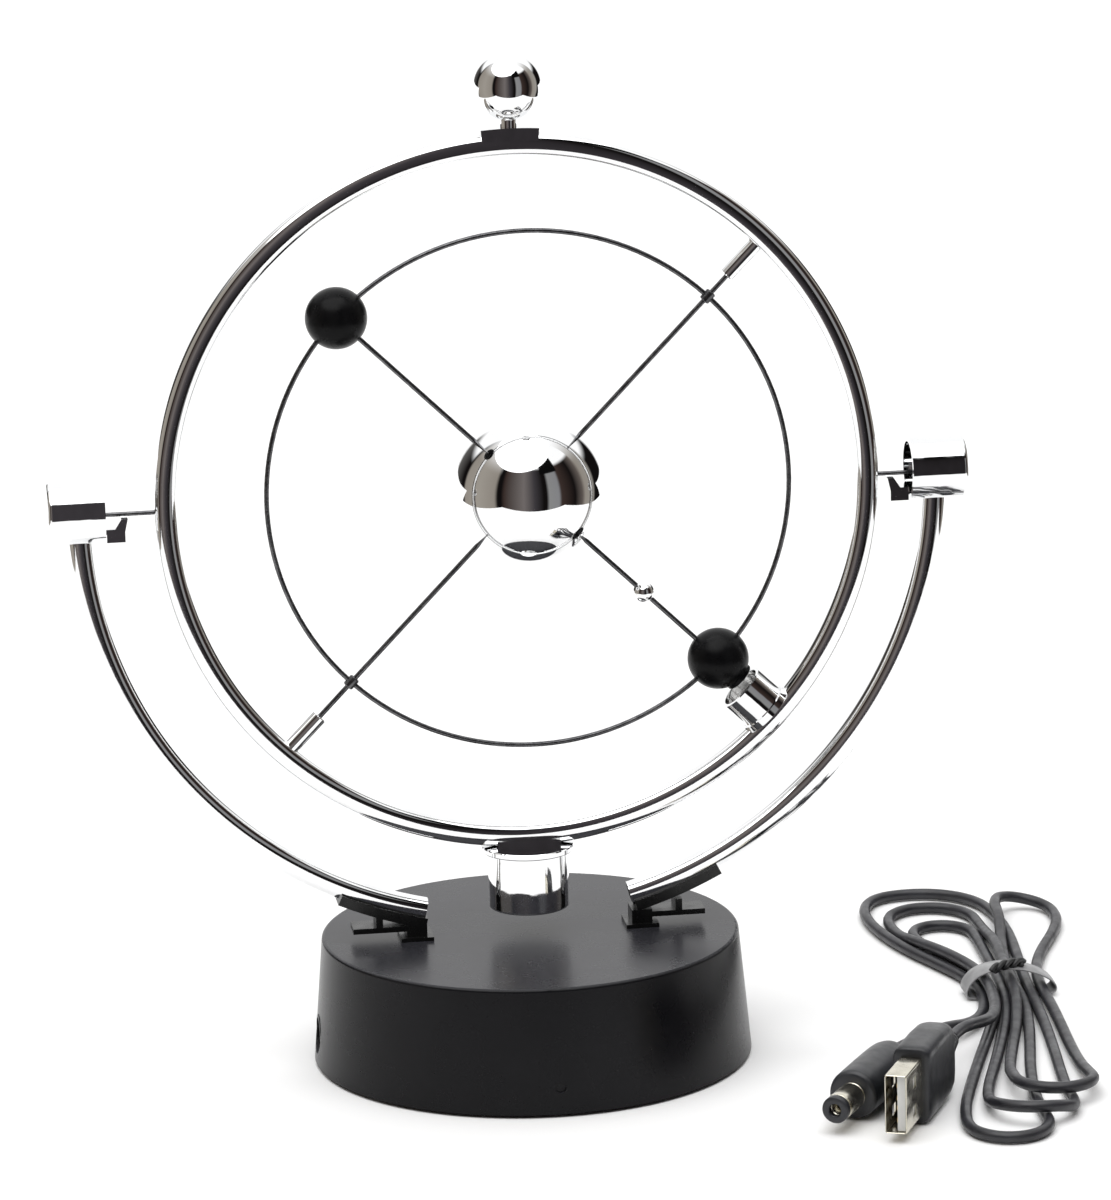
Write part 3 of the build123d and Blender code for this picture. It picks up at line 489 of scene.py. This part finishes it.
contact_gold = metal("contact_gold", (0.80, 0.58, 0.25), 0.2, 0.3, scale=300.0)


def hank_tie():
    """A grey plastic strip round the neck of the hank, its ends twisted together on top."""
    outer = [(93.9, 0.5), (93.4, 1.6), (94.2, 3.4), (96.2, 5.3), (99.6, 6.2), (103.4, 6.3), (107.4, 5.4), (110.8, 3.8), (112.6, 2.2), (112.4, 0.7), (110.2, 0.46), (103, 0.42), (96.0, 0.46)]
    bm = bmesh.new()
    rings = []
    for y in (15.2, 15.5, 17.4, 19.6, 21.6, 21.9):
        swell = 0.18 if y in (17.4, 19.6) else 0.0
        rings.append([bm.verts.new(Vector((x, y, z + (swell if z > 1 else 0))) * MM) for x, z in outer])
    for a, b in zip(rings, rings[1:]):
        n = len(a)
        for k in range(n):
            bm.faces.new((a[k], a[(k + 1) % n], b[(k + 1) % n], b[k]))
    band = mesh_object("hank_tie_band", bm, tie_grey)
    solid = band.modifiers.new("thickness", "SOLIDIFY")
    solid.thickness, solid.offset = 0.35 * MM, 1.0
    sub = band.modifiers.new("smooth", "SUBSURF")
    sub.levels = sub.render_levels = 2
    # twisted tail standing proud on top of the band
    bm = bmesh.new()
    for phase in (0, pi):
        pts = []
        for i in range(61):
            t = i / 60
            centre = Vector((106.0 - 7.5 * t, 17.6 - 3.8 * t, 6.9 + 0.5 * sin(pi * t)))
            a = phase + t * 4.0 * pi
            pts.append((centre + Vector((0.30 * cos(a), 0.62 * cos(a), 0.62 * sin(a)))) * MM)
        tube(bm, pts, [0.55 * MM] * len(pts), 10)
    tail = mesh_object("hank_tie_twist", bm, tie_black)
    return band, tail


tip, barrel, grip = barrel_plug()
shell, tongue, contacts, moulding = usb_plug()
band, twist = hank_tie()
for piece in (lead_cord, tip, barrel, grip, shell, tongue, contacts, moulding, band, twist):
    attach(piece, "base")
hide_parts("cord_hank", "cord_dc_end", "cord_usb_end")
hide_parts("cord_tie")
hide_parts("dc_plug_tip")
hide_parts("dc_plug_barrel")
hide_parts("dc_plug_grip")
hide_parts("usb_shell")
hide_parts("usb_tongue")
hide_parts("usb_grip")

# ------------------------------------------------------------------ ring and arms: drawn tube whose front and back are rolled a little flat
def drawn_section(r, n=48, power=2.6):
    out = []
    for k in range(n):
        a = 2 * pi * k / n
        c, d = cos(a), sin(a)
        out.append((r * (abs(c) ** (2 / power)) * (1 if c >= 0 else -1), r * (abs(d) ** (2 / power)) * (1 if d >= 0 else -1)))
    return out


def swept_arc(name, centre, radius, tube_r, a0, a1, steps, material, closed=False, power=2.6, wall=None):
    """A tube bent to a circle in the XZ plane; a hollow one shows its wall at its ends."""
    bm = bmesh.new()
    y = Vector((0, 1, 0))
    section = drawn_section(tube_r, power=power)

    def ring_at(a, sec):
        out = Vector((cos(radians(a)), 0, sin(radians(a))))
        c = Vector(centre) + out * radius
        return [bm.verts.new((c + out * q + y * w) * MM) for q, w in sec]

    count = steps if closed else steps + 1
    rings = [ring_at(a0 + (a1 - a0) * i / steps, section) for i in range(count)]
    pairs = list(zip(rings, rings[1:])) + ([(rings[-1], rings[0])] if closed else [])
    m = len(section)
    for p_, q_ in pairs:
        for k in range(m):
            bm.faces.new((p_[k], p_[(k + 1) % m], q_[(k + 1) % m], q_[k]))
    if not closed:
        inner = drawn_section(tube_r - wall, power=power)
        lip = 0.08 if a1 > a0 else -0.08
        for at_a, deep, outer in ((a0, a0 + 40 * lip, rings[0]), (a1, a1 - 40 * lip, rings[-1])):
            mouth, floor_ = ring_at(at_a, inner), ring_at(deep, inner)
            for k in range(m):
                bm.faces.new((outer[k], outer[(k + 1) % m], mouth[(k + 1) % m], mouth[k]))
                bm.faces.new((mouth[k], mouth[(k + 1) % m], floor_[(k + 1) % m], floor_[k]))
            bm.faces.new(floor_)
    o = mesh_object(name, bm, material)
    shade_sharp(o, 40)
    return o


ring = swept_arc("outer_ring_tube", (0, 0, ZP), RING_R, RING_TUBE, 0, 360, 360, chrome_tube, closed=True)
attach(ring, "ring")
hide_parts("outer_ring")
for side, a0, a1 in (("left", 181.3, 257.0), ("right", -1.3, -74.9)):
    arm = swept_arc(side + "_arm_tube", ARM_C, ARM_R, ARM_TUBE, a0, a1, 150, chrome_tube, wall=0.5)
    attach(arm, "base")
    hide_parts(side + "_arm")

# ------------------------------------------------------------------ floor, light
floor_m, nt, b = new_material("floor")
c = ramp(nt, noise(nt, 3.0, 2.0).outputs["Fac"], [(0.3, 0.90), (0.7, 0.93)])
link(nt, c.outputs["Color"], b.inputs["Base Color"])
b.inputs["Roughness"].default_value = 0.9
b.inputs["Specular IOR Level"].default_value = 0.1
bm = bmesh.new()
# a table top: near edges close to the object, widening behind it
edge_points = [(-0.36, -0.33), (0.36, -0.33), (0.42, 0.30), (2.0, 0.9), (2.0, 3.2), (-2.0, 3.2), (-2.0, 0.9), (-0.42, 0.30)]
bm.faces.new([bm.verts.new((x, y, -0.0001)) for x, y in edge_points])
floor = mesh_object("floor", bm, floor_m, smooth=False)

world = bpy.data.worlds.new("studio")
scene.world = world
world.use_nodes = True
wn = world.node_tree
bg = wn.nodes["Background"]
tc = wn.nodes.new("ShaderNodeTexCoord")
sep = wn.nodes.new("ShaderNodeSeparateXYZ")
wn.links.new(tc.outputs["Generated"], sep.inputs[0])


def math(op, a, b=None, clamp=False):
    m = wn.nodes.new("ShaderNodeMath")
    m.operation = op
    m.use_clamp = clamp
    for i, x in enumerate((a, b)):
        if x is None:
            continue
        if isinstance(x, (int, float)):
            m.inputs[i].default_value = x
        else:
            wn.links.new(x, m.inputs[i])
    return m.outputs[0]


# the dim room round the camera: tall panels of different tones at the horizon, fading to white overhead, with the pale table below
def smooth(value, lo, hi):
    m = wn.nodes.new("ShaderNodeMapRange")
    m.interpolation_type = "SMOOTHSTEP"
    m.inputs["From Min"].default_value = lo
    m.inputs["From Max"].default_value = hi
    wn.links.new(value, m.inputs["Value"])
    return m.outputs["Result"]


up_z = sep.outputs["Z"]
bearing = math("ARCTAN2", math("ADD", sep.outputs["X"], 0.0), math("MULTIPLY", sep.outputs["Y"], -1.0))   # 0 towards the front, + to the right
turn = math("ADD", math("DIVIDE", bearing, 2 * pi), 0.5 + 6.85 / 360)
elevation = math("MULTIPLY", math("ARCSINE", up_z), 180 / pi)


def at(deg):
    return 0.5 + deg / 360


def panels(stops):
    r = wn.nodes.new("ShaderNodeValToRGB")
    r.color_ramp.interpolation = "LINEAR"
    while len(r.color_ramp.elements) < len(stops):
        r.color_ramp.elements.new(0.5)
    for e, (deg, c) in zip(r.color_ramp.elements, stops):
        e.position = at(deg)
        e.color = (*c, 1.0)
    wn.links.new(turn, r.inputs["Fac"])
    return r.outputs["Color"]


dark, brown, beige, grey, white = (0.006, 0.005, 0.005), (0.045, 0.030, 0.026), (0.30, 0.27, 0.235), (0.12, 0.115, 0.11), (1.1, 1.1, 1.1)
low = panels([(-179, white), (-156, white), (-150, grey), (-122, dark), (-116, dark), (-112, beige), (-82, (0.36, 0.33, 0.29)), (-54, beige), (-49, dark), (-43, dark), (-38, brown),
              (-24, (0.10, 0.085, 0.08)), (-8, (0.17, 0.15, 0.145)), (8, (0.05, 0.045, 0.05)), (22, dark), (27, dark), (31, (0.26, 0.26, 0.26)), (46, (0.24, 0.24, 0.25)), (50, brown),
              (74, dark), (88, (0.12, 0.10, 0.09)), (94, beige), (112, (0.34, 0.32, 0.29)), (118, dark), (146, dark), (152, white), (179, white)])
box_edge = smooth(elevation, 40.0, 46.0)
beige_edge = smooth(elevation, 28.0, 68.0)
# panels that end sharply at the top, and paler walls that fade out higher up
sharp = math("MULTIPLY", smooth(turn, at(-49), at(-47)), math("SUBTRACT", 1.0, smooth(turn, at(90), at(93))))
edge = wn.nodes.new("ShaderNodeMix")
edge.data_type = "FLOAT"
wn.links.new(sharp, edge.inputs["Factor"])
wn.links.new(beige_edge, edge.inputs[2])
wn.links.new(box_edge, edge.inputs[3])
above = edge.outputs[0]
# the side walls beyond the panels end low, so that the light above them comes further down
side_low = math("MAXIMUM", smooth(turn, at(112), at(118)), math("SUBTRACT", 1.0, smooth(turn, at(-122), at(-116))))
open_light = math("MAXIMUM", above, math("MULTIPLY", side_low, smooth(elevation, 18.0, 30.0)))
mix = wn.nodes.new("ShaderNodeMix")
mix.data_type = "RGBA"
wn.links.new(open_light, mix.inputs["Factor"])
wn.links.new(low, mix.inputs[6])
mix.inputs[7].default_value = (1.12, 1.12, 1.12, 1)
# a dark square shade that stands a little higher than the rest, to the right of the middle
shade = math("MULTIPLY", math("MULTIPLY", smooth(turn, at(19), at(21)), math("SUBTRACT", 1.0, smooth(turn, at(50), at(52)))),
             math("MULTIPLY", smooth(elevation, 33.0, 35.0), math("SUBTRACT", 1.0, smooth(elevation, 60.0, 62.0))))
mix2 = wn.nodes.new("ShaderNodeMix")
mix2.data_type = "RGBA"
wn.links.new(shade, mix2.inputs["Factor"])
wn.links.new(mix.outputs[2], mix2.inputs[6])
mix2.inputs[7].default_value = (0.004, 0.004, 0.004, 1)
path = wn.nodes.new("ShaderNodeLightPath")
final = wn.nodes.new("ShaderNodeMix")
final.data_type = "RGBA"
wn.links.new(path.outputs["Is Camera Ray"], final.inputs["Factor"])
wn.links.new(mix2.outputs[2], final.inputs[6])
final.inputs[7].default_value = (1.0, 1.0, 1.0, 1)
wn.links.new(final.outputs[2], bg.inputs["Color"])
bg.inputs["Strength"].default_value = 1.0

key = bpy.data.lights.new("overhead", "SUN")
key.energy, key.angle = 1.9, radians(70)
key_o = bpy.data.objects.new("overhead", key)
key_o.rotation_euler = (radians(14), radians(-10), 0)
scene.collection.objects.link(key_o)

scene.view_settings.view_transform = "Standard"
scene.view_settings.look = "None"
scene.view_settings.exposure = 0.0
